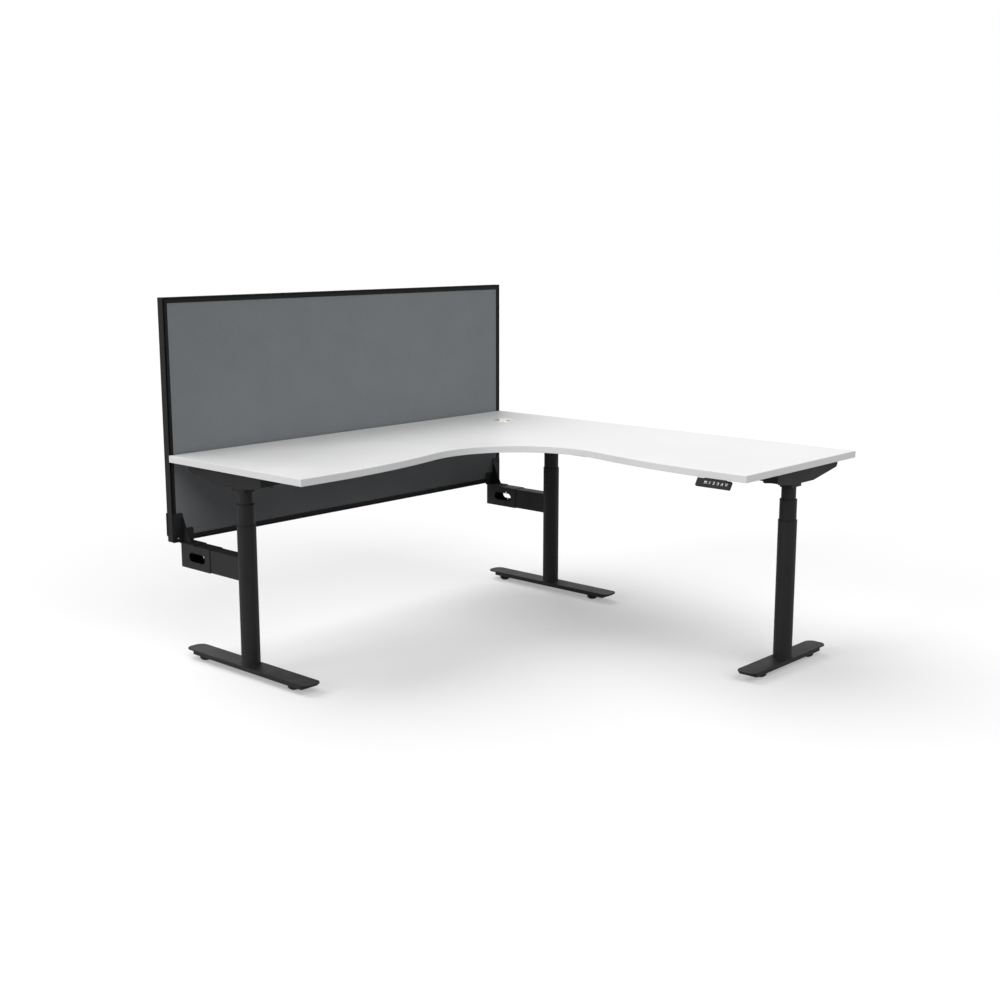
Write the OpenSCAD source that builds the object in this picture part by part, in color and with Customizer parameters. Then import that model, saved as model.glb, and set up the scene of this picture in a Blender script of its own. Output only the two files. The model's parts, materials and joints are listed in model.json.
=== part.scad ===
// Height-adjustable corner workstation with a back screen.
// The model's X axis runs along the screen, Y points from the user to the screen, Z is up.
// Every module is drawn about the worktop's back corner, at floor level, and place() then
// moves it to the middle of the footprint.

/* [Worktop] */
// Length of each wing along its back edge
wing_l = 1800; // [1750:10:2000]
// Depth of each wing at its free end
wing_d = 750; // [730:5:790]
// Depth of each wing at its narrowest, beside the corner
waist_d = 670; // [650:5:700]
// Radius of the user's curve in the corner
user_r = 350; // [300:5:400]
// Radius of the long curve that eases the user's curve into the front edge
ease_r = 2400; // [1800:50:2600]
// Thickness of the worktop
top_t = 25; // [22:1:30]
// Thickness of the edge band
band_t = 2; // [1:0.5:3]
// Lowest height that the worktop's upper face reaches above the floor
desk_h_min = 684; // [640:1:760]
// How far the worktop is raised above its lowest height
raised = 86; // [0:1:500]

/* [Legs] */
// Distance of each column's axis from the wing's end
leg_end = 64; // [60:1:80]
// Distance of each column's axis from the wing's back edge
leg_back = 364; // [350:1:380]
// Outside diameter of the outer tube
outer_d = 68.5; // [68:0.1:70]
// Outside diameter of the middle tube
middle_d = 62.5; // [61:0.1:62.7]
// Outside diameter of the inner tube
inner_d = 53; // [50:0.1:54]
// Wall of the three tubes
tube_wall = 1.8; // [1.5:0.1:2]
// How much of the middle tube still shows at the lowest height
middle_show = 33; // [20:1:60]
// Height of a collar's lip above its tube
lip_h = 3; // [2:0.5:4]

/* [Feet] */
// Length of the left and corner feet
foot_l = 700; // [660:5:740]
// Length of the right wing's foot
foot_short_l = 515; // [480:5:560]
// Width of a foot's top plate
foot_w = 80; // [78:1:90]
// Thickness of a foot's top plate
foot_plate_t = 5; // [4:0.5:6]
// Height of the channel under the plate
channel_h = 13; // [12:1:16]
// Height of the channel's underside above the floor
foot_gap = 22; // [20:1:26]
// Diameter of a levelling glide
glide_d = 44; // [40:1:48]

/* [Screen] */
// How much narrower the screen is than the wing it stands behind
screen_less = 4; // [0:1:40]
// Height of the screen
screen_h = 900; // [700:10:1000]
// Thickness of the screen's frame
screen_t = 30; // [28:1:34]
// Face width of the frame
frame_w = 20; // [18:1:24]
// Height of the screen's bottom edge above the floor
screen_z = 442.5; // [441.5:0.5:446]
// Clearance between the worktop's back edge and the screen
screen_gap = 6; // [5:0.5:10]

/* [Screen arms] */
// Width of a sleeve
sleeve_w = 60; // [56:1:64]
// Height of a sleeve
sleeve_h = 88; // [80:1:96]
// Length of a sleeve
sleeve_l = 172; // [165:1:190]
// Wall of a sleeve
sleeve_wall = 2; // [1.5:0.5:3]
// Length of the cable slot
slot_l = 98; // [90:1:102]
// Height of the cable slot
slot_h = 33; // [28:1:36]

/* [Grommet] */
// Diameter of the hole in the worktop
grommet_d = 80; // [70:1:80]
// Diameter of the flange on the worktop
grommet_flange_d = 90; // [86:1:96]
// Distance of its centre from both back edges
grommet_in = 250; // [240:1:260]

/* [Hidden] */
$fn = 72;
long_curve_fn = 720;
// One overrun for all cuts
over = 1;
// Radial clearance of a part that runs in or round another
run_fit = 0.05;
// Clearance between parts of one assembly that only slip together
slip = 0.2;

// Foot levels and outline
foot_top = foot_gap + channel_h + foot_plate_t;
foot_corner_r = 30;
foot_wall = 3;
channel_side_in = 3;
channel_back_in = 48;
channel_front_in = 26;
glide_back_in = 75;
glide_front_in = 110;
glide_sole_d = 28;
glide_sole_h = 7;
glide_body_h = 16;
glide_edge = 2;
stud_d = 10;
stud_top_gap = 1;
boss_d = 22;
column_pad_d = 64;

// Column positions, with each column's front-to-back direction turned to its wing
leg_x = [-wing_l + leg_end, -leg_end, -leg_back];
leg_y = [-leg_back, -leg_back, -wing_l + leg_end];
leg_turn = [0, 0, -90];

// Column radii
outer_r = outer_d / 2;
outer_in_r = outer_r - tube_wall;
middle_r = middle_d / 2;
middle_in_r = middle_r - tube_wall;
inner_r = inner_d / 2;
inner_in_r = inner_r - tube_wall;
guide_l = 60;
plug_h = 8;
stage_gap = 4;
inner_gap = 3;
head_gap = 2;
collar_l = 20;
lip_out = 0.5;

// Nested spindle drive
push_r = 12;
push_wall = 3;
nut_r = 14;
nut_h = 30;
hollow_r = 8;
hollow_gap = 10;
cap_gap_h = 17;
drive_r = 5;
drive_in = 15;
drive_gap = 7;
carrier_r = 17;
carrier_bore_r = 14.5;
carrier_flange_h = 6;
carrier_cap_h = 15;
upper_nut_r = 13;
upper_nut_h = 25;

// Wing-shaped support arm: distances from the column's axis and drops below its top
mount_t = 3;
mount_w = 84;
mount_front = 152;
mount_back = 296;
mount_hole_d = 5.5;
mount_hole_in = 12;
arm_w = 60;
arm_t = 2.5;
arm_drop = 55;
arm_front = 128;
arm_back = 292;
arm_belly_front = 30;
arm_knee = 122;
arm_tip_drop = 26;
arm_tip_side = 18;
arm_tip_in = 8;
arm_nose_drop = 43;
arm_nose_side = 37;

// Gear motor in the arm
motor_drop = 12;
motor_w = 50;
motor_front = 27;
motor_back = 49;
motor_corner_r = 8;
can_d = 44;
can_l = 120;
can_sink = 6;
spigot_l = 20;
spigot_wall = 4;

// Rails under the worktop
rail_w = 25;
rail_h = 30;
rail_wall = 2;
rail_drop = 6;
rail_back = 40;
rail_front = 104;
rail_flange_t = 4;
rail_flange_out = 8;

// Screen frame profile
lip_t = 3;
groove_start = 2;
groove_end = 8;
groove_depth = 5;
pocket_start = 10;
pocket_slip = 0.5;
duct_start = 3;
duct_depth = 8;
fabric_t = 2;
screen_shift = 1;
screen_w = wing_l - screen_less;

// Screen arm, its distances measured from the worktop's back edge
sleeve_end = 5.5;
sleeve_top = screen_z - 5;
stub_end = 155;
stub_wall = 3;
slot_mid = 100;
slot_hole_d = 5.5;
slot_hole_y = 41;
slot_hole_z = 42;
plug_t = 2;
plug_depth = 12;
plug_wall = 2.5;

// Screen bracket
bracket_t = 3;
bracket_in = 2;
bracket_wide = 45;
bracket_low_wide = 45;
bracket_high = 109;
bracket_low = 49;
bracket_corner_r = 8;
base_front = 79;
gusset_foot = 48;
gusset_top = 95;
clamp_t = 4;
clamp_h = 86;
clamp_wide = 50;
clamp_out = 2;
bolt_d = 6;
bolt_slip = 0.3;
bolt_head_d = 11;
bolt_head_h = 3.3;
bolt_in = 10;
bolt_low = 36;
bolt_high = 96;
bolt_nut_d = 11.5;
bolt_nut_h = 5;
spare_hole_in = 25;
spare_hole_up = 14;
spare_hole_d = 8;
base_screw_y = [65, 25];
base_screw_l = 12;

// Grommet
flange_h = 3;
liner_depth = 22;
liner_slip = 0.3;
liner_wall = 2;
ledge_w = 3;
ledge_h = 2;
cap_t = 3;
cap_gap = 0.2;
cable_slot_w = 34;
cable_slot_l = 22;
cable_slot_in = 5;
cable_slot_r = 8;
cap_turn = 20;

// Control box
box_x = 1000;
box_y = 190;
box_l = 260;
box_w = 100;
box_h = 36;
box_corner_r = 6;
box_ear = 14;
box_ear_t = 3;
box_ear_hole_d = 4.5;
inlet_w = 28;
inlet_h = 20;
inlet_depth = 14;
inlet_in = 40;
bay_w = 76;
bay_h = 15;
bay_depth = 10;
bay_in = 150;

// Handset under the front edge of the right wing
handset_end = 126;
handset_y = wing_l - handset_end;
handset_l = 138;
handset_face = 30;
handset_t = 11;
handset_tilt = 33;
handset_out = 2;
handset_drop = 0.4;
handset_edge_r = 2;
tab_l = 84;
tab_reach = 62;
tab_t = 3;
neck_w = 14;
neck_h = 10;
key_w = 14;
key_h = 15;
key_t = 3;
key_proud = 0.4;
key_gap = 0.3;
key_pitch = 16.8;
key_first = 30.6;
key_corner_r = 1.5;
key_rise = 15;
key_depth = 5;

// Column levels at the lowest height, then raised: the middle stage by half of the desktop's lift
desk_h = desk_h_min + raised;
middle_rise = raised / 2;
inner_top_low = desk_h_min - top_t - mount_t - arm_drop - motor_drop;
middle_top_low = inner_top_low - head_gap - lip_h;
middle_z_low = foot_top + plug_h + stage_gap;
middle_l = middle_top_low - middle_z_low;
inner_z_low = middle_z_low + carrier_flange_h + inner_gap;
outer_top = middle_top_low - middle_show;
middle_z = middle_z_low + middle_rise;
middle_top = middle_top_low + middle_rise;
inner_z = inner_z_low + raised;
inner_top = inner_top_low + raised;
motor_top = desk_h - top_t - mount_t - arm_t;

// Spindle levels
hollow_top_low = inner_top_low - head_gap - upper_nut_h;
hollow_l = hollow_top_low - middle_z_low - hollow_gap;
push_top = hollow_top_low - carrier_cap_h - cap_gap_h - nut_h;
hollow_top = hollow_top_low + middle_rise;

// The user's curve and the easing curve, which touch each other
user_c = -(waist_d + user_r);
ease_cy = ease_r - wing_d;
ease_cx = user_c - sqrt(pow(user_r + ease_r, 2) - pow(ease_cy - user_c, 2));

// Middle of the footprint
screen_right = screen_shift;
screen_left = screen_shift - screen_w;
screen_front = screen_gap;
screen_back = screen_gap + screen_t;
back_reach = screen_back + clamp_t + bolt_nut_h;
mid_x = (screen_right + clamp_out - wing_l) / 2;
mid_y = (back_reach - wing_l) / 2;

// Finishes
black_steel = "#26282a";
black_plastic = "#141516";
white_board = "#f2f2f0";
white_band = "#dcdcda";
grey_cloth = "#6c7174";
cream_plastic = "#efe8d6";
zinc = "#9ba0a3";
brass = "#b08d4a";
pale_core = "#b9a988";

// Moves a piece from the worktop's back corner to the middle of the footprint
module place() {
    translate([-mid_x, -mid_y, 0]) children();
}

// Puts a piece on one column's axis, with its own +Y towards the wing's back edge
module at_leg(i) {
    translate([leg_x[i], leg_y[i], 0]) rotate(leg_turn[i]) children();
}

// Rectangle with round corners, about its centre
module round_rect(w, l, r) {
    square([w - 2 * r, l], center = true);
    square([w, l - 2 * r], center = true);
    for (sx = [-1, 1], sy = [-1, 1])
        translate([sx * (w / 2 - r), sy * (l / 2 - r)]) circle(r);
}

// Slot with round ends, about its centre
module round_slot(l, h) {
    square([l - h, h], center = true);
    for (s = [-1, 1]) translate([s * (l - h) / 2, 0]) circle(d = h);
}

// Tube standing on a level
module tube(r, r_in, z, l) {
    translate([0, 0, z]) difference() {
        cylinder(h = l, r = r);
        translate([0, 0, -over]) cylinder(h = l + 2 * over, r = r_in);
    }
}

// Wedge-shaped part of the user's side, drawn in to the middle of the user's curve
module user_side(inset) {
    touch_share = (user_r + inset) / (user_r + ease_r);
    touch_x = user_c + (ease_cx - user_c) * touch_share;
    touch_y = user_c + (ease_cy - user_c) * touch_share;
    difference() {
        union() {
            polygon([
                [-wing_l - over, -wing_l - over],
                [-wing_l - over, -wing_d + inset],
                [ease_cx, -wing_d + inset],
                [touch_x, touch_y],
                [user_c, user_c],
                [touch_y, touch_x],
                [-wing_d + inset, ease_cx],
                [-wing_d + inset, -wing_l - over]
            ]);
            translate([user_c, user_c]) circle(user_r + inset);
        }
        translate([ease_cx, ease_cy]) circle(ease_r - inset, $fn = long_curve_fn);
        translate([ease_cy, ease_cx]) circle(ease_r - inset, $fn = long_curve_fn);
    }
}

// Outline of the worktop, drawn in by an inset
module top_outline(inset) {
    difference() {
        translate([inset - wing_l, inset - wing_l]) square(wing_l - 2 * inset);
        user_side(inset);
    }
}

module worktop() {
    color(white_board) place() translate([0, 0, desk_h - top_t]) difference() {
        linear_extrude(top_t) top_outline(band_t);
        translate([-grommet_in, -grommet_in, -over]) cylinder(h = top_t + 2 * over, d = grommet_d);
    }
}

module edge_band() {
    color(white_band) place() translate([0, 0, desk_h - top_t]) linear_extrude(top_t) difference() {
        top_outline(0);
        top_outline(band_t);
    }
}

// Foot: top plate with round corners over a narrower channel that holds the glide bosses
module foot(l) {
    channel_l = l - channel_back_in - channel_front_in;
    channel_y = (channel_front_in - channel_back_in) / 2;
    channel_w = foot_w - 2 * channel_side_in;
    glide_y = [l / 2 - glide_back_in, glide_front_in - l / 2];
    color(black_steel) {
        translate([0, 0, foot_gap + channel_h])
            linear_extrude(foot_plate_t) round_rect(foot_w, l, foot_corner_r);
        translate([0, 0, foot_gap]) difference() {
            union() {
                linear_extrude(channel_h) difference() {
                    translate([0, channel_y]) square([channel_w, channel_l], center = true);
                    translate([0, channel_y])
                        square([channel_w - 2 * foot_wall, channel_l - 2 * foot_wall], center = true);
                }
                cylinder(h = channel_h, d = column_pad_d);
                for (y = glide_y) translate([0, y, 0]) cylinder(h = channel_h, d = boss_d);
            }
            for (y = glide_y) translate([0, y, -over])
                cylinder(h = channel_h + over, d = stud_d + 2 * run_fit);
        }
    }
}

// Levelling glide: tapered sole, pad and stud, turned about its own axis
module glide(i, l, back) {
    y = back ? l / 2 - glide_back_in : glide_front_in - l / 2;
    color(black_plastic) place() at_leg(i) translate([0, y, 0]) rotate_extrude() polygon([
        [0, 0],
        [glide_sole_d / 2, 0],
        [glide_d / 2 - glide_edge, glide_sole_h - glide_edge],
        [glide_d / 2, glide_sole_h],
        [glide_d / 2, glide_body_h - glide_edge],
        [glide_d / 2 - glide_edge, glide_body_h],
        [stud_d / 2, glide_body_h],
        [stud_d / 2, foot_gap + channel_h - stud_top_gap],
        [0, foot_gap + channel_h - stud_top_gap]
    ]);
}

// Outer tube with the plug that closes it on the foot
module outer_tube(i) {
    color(black_steel) place() at_leg(i) {
        tube(outer_r, outer_in_r, foot_top, outer_top - foot_top);
        translate([0, 0, foot_top]) cylinder(h = plug_h, r = outer_in_r);
    }
}

module middle_tube(i) {
    color(black_steel) place() at_leg(i) tube(middle_r, middle_in_r, middle_z, middle_l);
}

module inner_tube(i) {
    color(black_steel) place() at_leg(i) tube(inner_r, inner_in_r, inner_z, inner_top - inner_z);
}

// Collar pressed into a tube's mouth, with a lip on top; the next tube runs in it
module collar(tube_r, tube_in_r, runner_r, top) {
    rotate_extrude() translate([0, top]) polygon([
        [runner_r + run_fit, -collar_l],
        [tube_in_r - run_fit, -collar_l],
        [tube_in_r - run_fit, 0],
        [tube_r + lip_out, 0],
        [tube_r + lip_out, lip_h],
        [runner_r + run_fit, lip_h]
    ]);
}

module outer_collars() {
    color(black_plastic) place() for (i = [0:2])
        at_leg(i) collar(outer_r, outer_in_r, middle_r, outer_top);
}

module middle_collars() {
    color(black_plastic) place() for (i = [0:2])
        at_leg(i) collar(middle_r, middle_in_r, inner_r, middle_top);
}

module middle_guides() {
    color(black_plastic) place() for (i = [0:2])
        at_leg(i) tube(outer_in_r - run_fit, middle_r, middle_z, guide_l);
}

module inner_guides() {
    color(black_plastic) place() for (i = [0:2])
        at_leg(i) tube(middle_in_r - run_fit, inner_r, inner_z, guide_l);
}

// Push tube on the foot, with the nut at its head that the hollow spindle screws through
module push_tubes() {
    color(zinc) place() for (i = [0:2]) at_leg(i) rotate_extrude() polygon([
        [push_r - push_wall, foot_top + plug_h],
        [push_r, foot_top + plug_h],
        [push_r, push_top],
        [nut_r, push_top],
        [nut_r, push_top + nut_h],
        [hollow_r + run_fit, push_top + nut_h],
        [hollow_r + run_fit, push_top],
        [push_r - push_wall, push_top]
    ]);
}

// Carrier in the middle tube: its flange sits in the tube's foot, its cap holds the spindle
module carrier_tubes() {
    cap_top = hollow_top;
    color(black_steel) place() for (i = [0:2]) at_leg(i) rotate_extrude() polygon([
        [carrier_bore_r, middle_z],
        [middle_in_r - run_fit, middle_z],
        [middle_in_r - run_fit, middle_z + carrier_flange_h],
        [carrier_r, middle_z + carrier_flange_h],
        [carrier_r, cap_top],
        [hollow_r + run_fit, cap_top],
        [hollow_r + run_fit, cap_top - carrier_cap_h],
        [carrier_bore_r, cap_top - carrier_cap_h]
    ]);
}

// Hollow spindle with the nut on its head that the drive spindle screws through
module hollow_spindles() {
    color(zinc) place() for (i = [0:2]) at_leg(i) rotate_extrude() polygon([
        [drive_r + run_fit, hollow_top - hollow_l],
        [hollow_r, hollow_top - hollow_l],
        [hollow_r, hollow_top],
        [upper_nut_r, hollow_top],
        [upper_nut_r, hollow_top + upper_nut_h],
        [drive_r + run_fit, hollow_top + upper_nut_h]
    ]);
}

module drive_spindles() {
    bottom = foot_top + plug_h + drive_gap + raised;
    color(zinc) place() for (i = [0:2]) at_leg(i)
        translate([0, 0, bottom]) cylinder(h = inner_top + drive_in - bottom, r = drive_r);
}

// Gear motor: housing over the column, spigot inside the inner tube and motor can along the arm
module motor_units() {
    mid = (motor_back - motor_front) / 2;
    can_z = motor_top - can_sink - can_d / 2;
    color(black_plastic) place() for (i = [0:2]) at_leg(i) difference() {
        union() {
            translate([0, mid, inner_top]) linear_extrude(motor_top - inner_top)
                round_rect(motor_w, motor_front + motor_back, motor_corner_r);
            translate([0, motor_back - over, can_z]) rotate([-90, 0, 0])
                cylinder(h = can_l, d = can_d);
            tube(inner_in_r - slip, inner_in_r - slip - spigot_wall, inner_top - spigot_l, spigot_l + over);
        }
        translate([0, 0, inner_top - over]) cylinder(h = drive_in + over, r = drive_r);
    }
}

// Wing-shaped arm, a channel open below, under the plate that screws to the worktop
module support_arm(i) {
    top = desk_h - top_t - mount_t;
    color(black_steel) place() at_leg(i) {
        difference() {
            translate([-arm_w / 2, 0, top]) rotate([90, 0, 90]) linear_extrude(arm_w) polygon([
                [-arm_front, 0],
                [-arm_front, -arm_nose_side],
                [-arm_front + arm_tip_in, -arm_nose_drop],
                [-arm_belly_front, -arm_drop],
                [arm_knee, -arm_drop],
                [arm_back - arm_tip_in, -arm_tip_drop],
                [arm_back, -arm_tip_side],
                [arm_back, 0]
            ]);
            translate([arm_t - arm_w / 2, arm_t - arm_front, top - arm_drop - over])
                cube([arm_w - 2 * arm_t, arm_front + arm_back - 2 * arm_t, arm_drop + over - arm_t]);
        }
        translate([0, (mount_back - mount_front) / 2, top]) linear_extrude(mount_t) difference() {
            round_rect(mount_w, mount_front + mount_back, mount_hole_in);
            for (sx = [-1, 1], sy = [-1, 1]) translate([
                sx * (mount_w / 2 - mount_hole_in / 2 - mount_hole_d / 2),
                sy * ((mount_front + mount_back) / 2 - mount_hole_in)
            ]) circle(d = mount_hole_d);
        }
    }
}

// Rail of rectangular tube along X, with a bolting flange at each end
module rail(l) {
    rotate([90, 0, 90]) linear_extrude(l) difference() {
        square([rail_w, rail_h], center = true);
        square([rail_w - 2 * rail_wall, rail_h - 2 * rail_wall], center = true);
    }
    for (x = [0, l - rail_flange_t]) translate([x, 0, 0]) rotate([90, 0, 90])
        linear_extrude(rail_flange_t)
            round_rect(rail_w + 2 * rail_flange_out, rail_h, rail_wall);
}

rail_z = desk_h - top_t - mount_t - rail_drop - rail_h / 2;

module rails_left_wing() {
    from = leg_x[0] + arm_w / 2;
    color(black_steel) place() for (u = [rail_back, -rail_front])
        translate([from, u - leg_back, rail_z]) rail(leg_x[1] - arm_w / 2 - from);
}

module rails_right_wing() {
    from = leg_y[2] + arm_w / 2;
    to = -leg_back - rail_front - rail_w / 2;
    color(black_steel) place() for (u = [rail_back, -rail_front])
        translate([u - leg_back, from, rail_z]) rotate(90) rail(to - from);
}

// Control box with ears, a mains inlet and a bay for the plugs of the motors and the handset
module control_box() {
    top = desk_h - top_t;
    color(black_plastic) place() translate([-box_x, -box_y, top]) difference() {
        union() {
            translate([0, 0, -box_h]) linear_extrude(box_h) round_rect(box_l, box_w, box_corner_r);
            translate([0, 0, -box_ear_t]) linear_extrude(box_ear_t)
                round_rect(box_l + 2 * box_ear, box_w / 2, box_corner_r);
        }
        for (s = [-1, 1]) translate([s * (box_l + box_ear) / 2, 0, -box_ear_t - over])
            cylinder(h = box_ear_t + 2 * over, d = box_ear_hole_d);
        translate([inlet_in - box_l / 2, -box_w / 2 + inlet_depth, -box_h / 2]) rotate([90, 0, 0])
            linear_extrude(inlet_depth + over) square([inlet_w, inlet_h], center = true);
        translate([bay_in - box_l / 2, -box_w / 2 + bay_depth, -box_h / 2]) rotate([90, 0, 0])
            linear_extrude(bay_depth + over) square([bay_w, bay_h], center = true);
    }
}

// Grommet: liner in the worktop's hole, flange on top and a ledge that carries the cap
module grommet_ring() {
    liner_r = grommet_d / 2 - liner_slip;
    bore_r = liner_r - liner_wall;
    color(cream_plastic) place() translate([-grommet_in, -grommet_in, desk_h])
        rotate_extrude() polygon([
            [bore_r - ledge_w, -liner_depth],
            [liner_r, -liner_depth],
            [liner_r, 0],
            [grommet_flange_d / 2, 0],
            [grommet_flange_d / 2 - flange_h / 2, flange_h],
            [bore_r, flange_h],
            [bore_r, flange_h - cap_t - cap_gap],
            [bore_r - ledge_w, flange_h - cap_t - cap_gap]
        ]);
}

// Cap that turns in the ring, with one slot for cables at its rim
module grommet_cap() {
    cap_r = grommet_d / 2 - liner_slip - liner_wall - run_fit;
    slot_y = cap_r - cable_slot_in - cable_slot_l / 2;
    color(cream_plastic) place()
        translate([-grommet_in, -grommet_in, desk_h + flange_h - cap_t]) rotate(cap_turn) difference() {
            cylinder(h = cap_t, r = cap_r);
            translate([0, -slot_y, -over]) linear_extrude(cap_t + 2 * over)
                round_rect(cable_slot_w, cable_slot_l, cable_slot_r);
        }
}

// Handset frame: X runs along the edge, Y up its tilted face and Z out of the face
module on_handset() {
    translate([-wing_d - handset_out, -handset_y, desk_h - top_t - handset_drop])
        rotate([0, handset_tilt, 0]) rotate([90, 0, -90]) children();
}

module handset_case() {
    color(black_plastic) place() {
        on_handset() difference() {
            translate([0, -handset_face / 2, -handset_t]) linear_extrude(handset_t)
                round_rect(handset_l, handset_face, handset_edge_r);
            for (k = [0:5]) translate([key_x(k), -key_rise, -key_depth])
                linear_extrude(key_depth + over)
                    square([key_w + 2 * key_gap, key_h + 2 * key_gap], center = true);
        }
        translate([-wing_d, -handset_y - tab_l / 2, desk_h - top_t - tab_t])
            cube([tab_reach, tab_l, tab_t]);
        translate([-wing_d, -handset_y - tab_l / 2, desk_h - top_t - neck_h])
            cube([neck_w, tab_l, neck_h]);
    }
}

function key_x(k) = key_first + (k + 1 / 2) * key_pitch - handset_l / 2;

module key(k) {
    color(black_plastic) place() on_handset() translate([key_x(k), -key_rise, key_proud - key_t])
        linear_extrude(key_t) round_rect(key_w, key_h, key_corner_r);
}

// Arm stub: rectangular tube whose end is cut to the column
module arm_stubs() {
    w = sleeve_w - 2 * sleeve_wall - 2 * slip;
    h = sleeve_h - 2 * sleeve_wall;
    color(black_steel) place() for (i = [0:1])
        translate([leg_x[i], 0, sleeve_top - sleeve_h / 2]) difference() {
            translate([0, -stub_end, 0]) rotate([90, 0, 0]) linear_extrude(leg_back - stub_end)
                difference() {
                    square([w, h], center = true);
                    square([w - 2 * stub_wall, h - 2 * stub_wall], center = true);
                }
            translate([0, -leg_back, -h]) cylinder(h = 2 * h, r = outer_r);
        }
}

// Sleeve over the stub, with a cable slot through both sides and four holes round it
module arm_sleeve(i) {
    color(black_steel) place() translate([leg_x[i], 0, sleeve_top - sleeve_h / 2]) difference() {
        translate([0, -sleeve_end, 0]) rotate([90, 0, 0]) linear_extrude(sleeve_l) difference() {
            square([sleeve_w, sleeve_h], center = true);
            square([sleeve_w - 2 * sleeve_wall, sleeve_h - 2 * sleeve_wall], center = true);
        }
        translate([-sleeve_w / 2 - over, -slot_mid, 0]) rotate([90, 0, 90])
            linear_extrude(sleeve_w + 2 * over) round_slot(slot_l, slot_h);
        for (sy = [-1, 1], sz = [-1, 1])
            translate([-sleeve_w / 2 - over, sy * slot_hole_y / 2 - slot_mid, sz * slot_hole_z / 2])
                rotate([0, 90, 0]) cylinder(h = sleeve_w + 2 * over, d = slot_hole_d);
        for (y = base_screw_y) translate([0, -y, 0]) cylinder(h = sleeve_h, d = bolt_d + 2 * bolt_slip);
    }
}

module arm_plugs() {
    w = sleeve_w - 2 * sleeve_wall - 2 * slip;
    h = sleeve_h - 2 * sleeve_wall - 2 * slip;
    color(black_plastic) place() for (i = [0:1])
        translate([leg_x[i], -sleeve_end, sleeve_top - sleeve_h / 2]) rotate([90, 0, 0]) {
            translate([0, 0, -plug_t]) linear_extrude(plug_t) square([sleeve_w, sleeve_h], center = true);
            linear_extrude(plug_depth) difference() {
                square([w, h], center = true);
                square([w - 2 * plug_wall, h - 2 * plug_wall], center = true);
            }
        }
}

// Places a bracket piece at one end of the screen, its own +X running inwards from that end
module at_screen_end(i) {
    if (i == 0) translate([screen_left, 0, 0]) children();
    else translate([screen_right, 0, 0]) mirror([1, 0, 0]) children();
}

// Plate of the bracket with one round upper corner
module bracket_step(w, h) {
    square([w, h - bracket_corner_r]);
    square([w - bracket_corner_r, h]);
    translate([w - bracket_corner_r, h - bracket_corner_r]) circle(bracket_corner_r);
}

// Bracket: a stepped plate on the screen's face, a gusset and a base flange on the sleeve
module screen_bracket(i) {
    z = sleeve_top + bracket_t;
    color(black_steel) place() {
        at_screen_end(i) {
            translate([0, screen_front, z]) rotate([90, 0, 0]) linear_extrude(bracket_t) difference() {
                translate([bracket_in, 0]) {
                    bracket_step(bracket_wide, bracket_high);
                    bracket_step(bracket_wide + bracket_low_wide, bracket_low);
                }
                for (up = [bolt_low, bolt_high]) translate([bolt_in, up]) circle(d = bolt_d + 2 * bolt_slip);
                translate([spare_hole_in, spare_hole_up]) circle(d = spare_hole_d);
            }
            translate([bracket_in + bracket_wide, screen_front - bracket_t, z]) rotate([90, 0, -90])
                linear_extrude(bracket_t) polygon([[0, 0], [gusset_foot, 0], [0, gusset_top]]);
        }
        translate([leg_x[i], 0, sleeve_top]) linear_extrude(bracket_t) difference() {
            translate([-sleeve_w / 2, -base_front]) square([sleeve_w, base_front + screen_front]);
            for (y = base_screw_y) translate([0, -y]) circle(d = bolt_d + 2 * bolt_slip);
        }
    }
}

module clamp_plates() {
    z = sleeve_top + bracket_t + (bolt_low + bolt_high - clamp_h) / 2;
    color(black_steel) place() for (i = [0:1]) at_screen_end(i)
        translate([0, screen_back + clamp_t, z]) rotate([90, 0, 0]) linear_extrude(clamp_t) difference() {
            translate([-clamp_out, 0]) square([clamp_wide, clamp_h]);
            for (s = [-1, 1]) translate([bolt_in, clamp_h / 2 + s * (bolt_high - bolt_low) / 2])
                circle(d = bolt_d + 2 * bolt_slip);
        }
}

// Bolts through bracket, frame and clamp plate, and the screws of the base flanges
module bracket_bolts() {
    z = sleeve_top + bracket_t;
    grip = bracket_t + screen_t + clamp_t;
    color(zinc) place() for (i = [0:1]) {
        at_screen_end(i) for (up = [bolt_low, bolt_high])
            translate([bolt_in, screen_front - bracket_t, z + up]) rotate([-90, 0, 0]) {
                translate([0, 0, -bolt_head_h]) cylinder(h = bolt_head_h, d = bolt_head_d);
                cylinder(h = grip + bolt_nut_h, d = bolt_d);
                translate([0, 0, grip]) cylinder(h = bolt_nut_h, d = bolt_nut_d, $fn = 6);
            }
        for (y = base_screw_y) translate([leg_x[i], -y, z]) {
            cylinder(h = bolt_head_h, d = bolt_head_d);
            translate([0, 0, -base_screw_l]) cylinder(h = base_screw_l, d = bolt_d);
        }
    }
}

// Section of the frame: X runs in from the outer face, Y from the front face to the back
module frame_section() {
    difference() {
        square([frame_w, screen_t]);
        translate([pocket_start, lip_t]) square([frame_w, screen_t - 2 * lip_t]);
        for (y = [-over, screen_t - groove_depth]) translate([groove_start, y])
            square([groove_end - groove_start, groove_depth + over]);
        translate([duct_start, duct_depth])
            square([pocket_start - 2 * duct_start, screen_t - 2 * duct_depth]);
    }
}

// Frame bar of length l along X, its outer face down, with both ends mitred
module frame_bar(l) {
    intersection() {
        rotate([90, 0, 90]) linear_extrude(l) rotate(90) mirror([0, 1, 0]) frame_section();
        translate([0, screen_t + over, 0]) rotate([90, 0, 0]) linear_extrude(screen_t + 2 * over)
            polygon([[0, 0], [l, 0], [l - frame_w, frame_w], [frame_w, frame_w]]);
    }
}

module frame_bottom() {
    color(black_steel) place() translate([screen_left, screen_front, screen_z]) frame_bar(screen_w);
}

module frame_top() {
    color(black_steel) place() translate([screen_left, screen_front, screen_z + screen_h])
        mirror([0, 0, 1]) frame_bar(screen_w);
}

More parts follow.
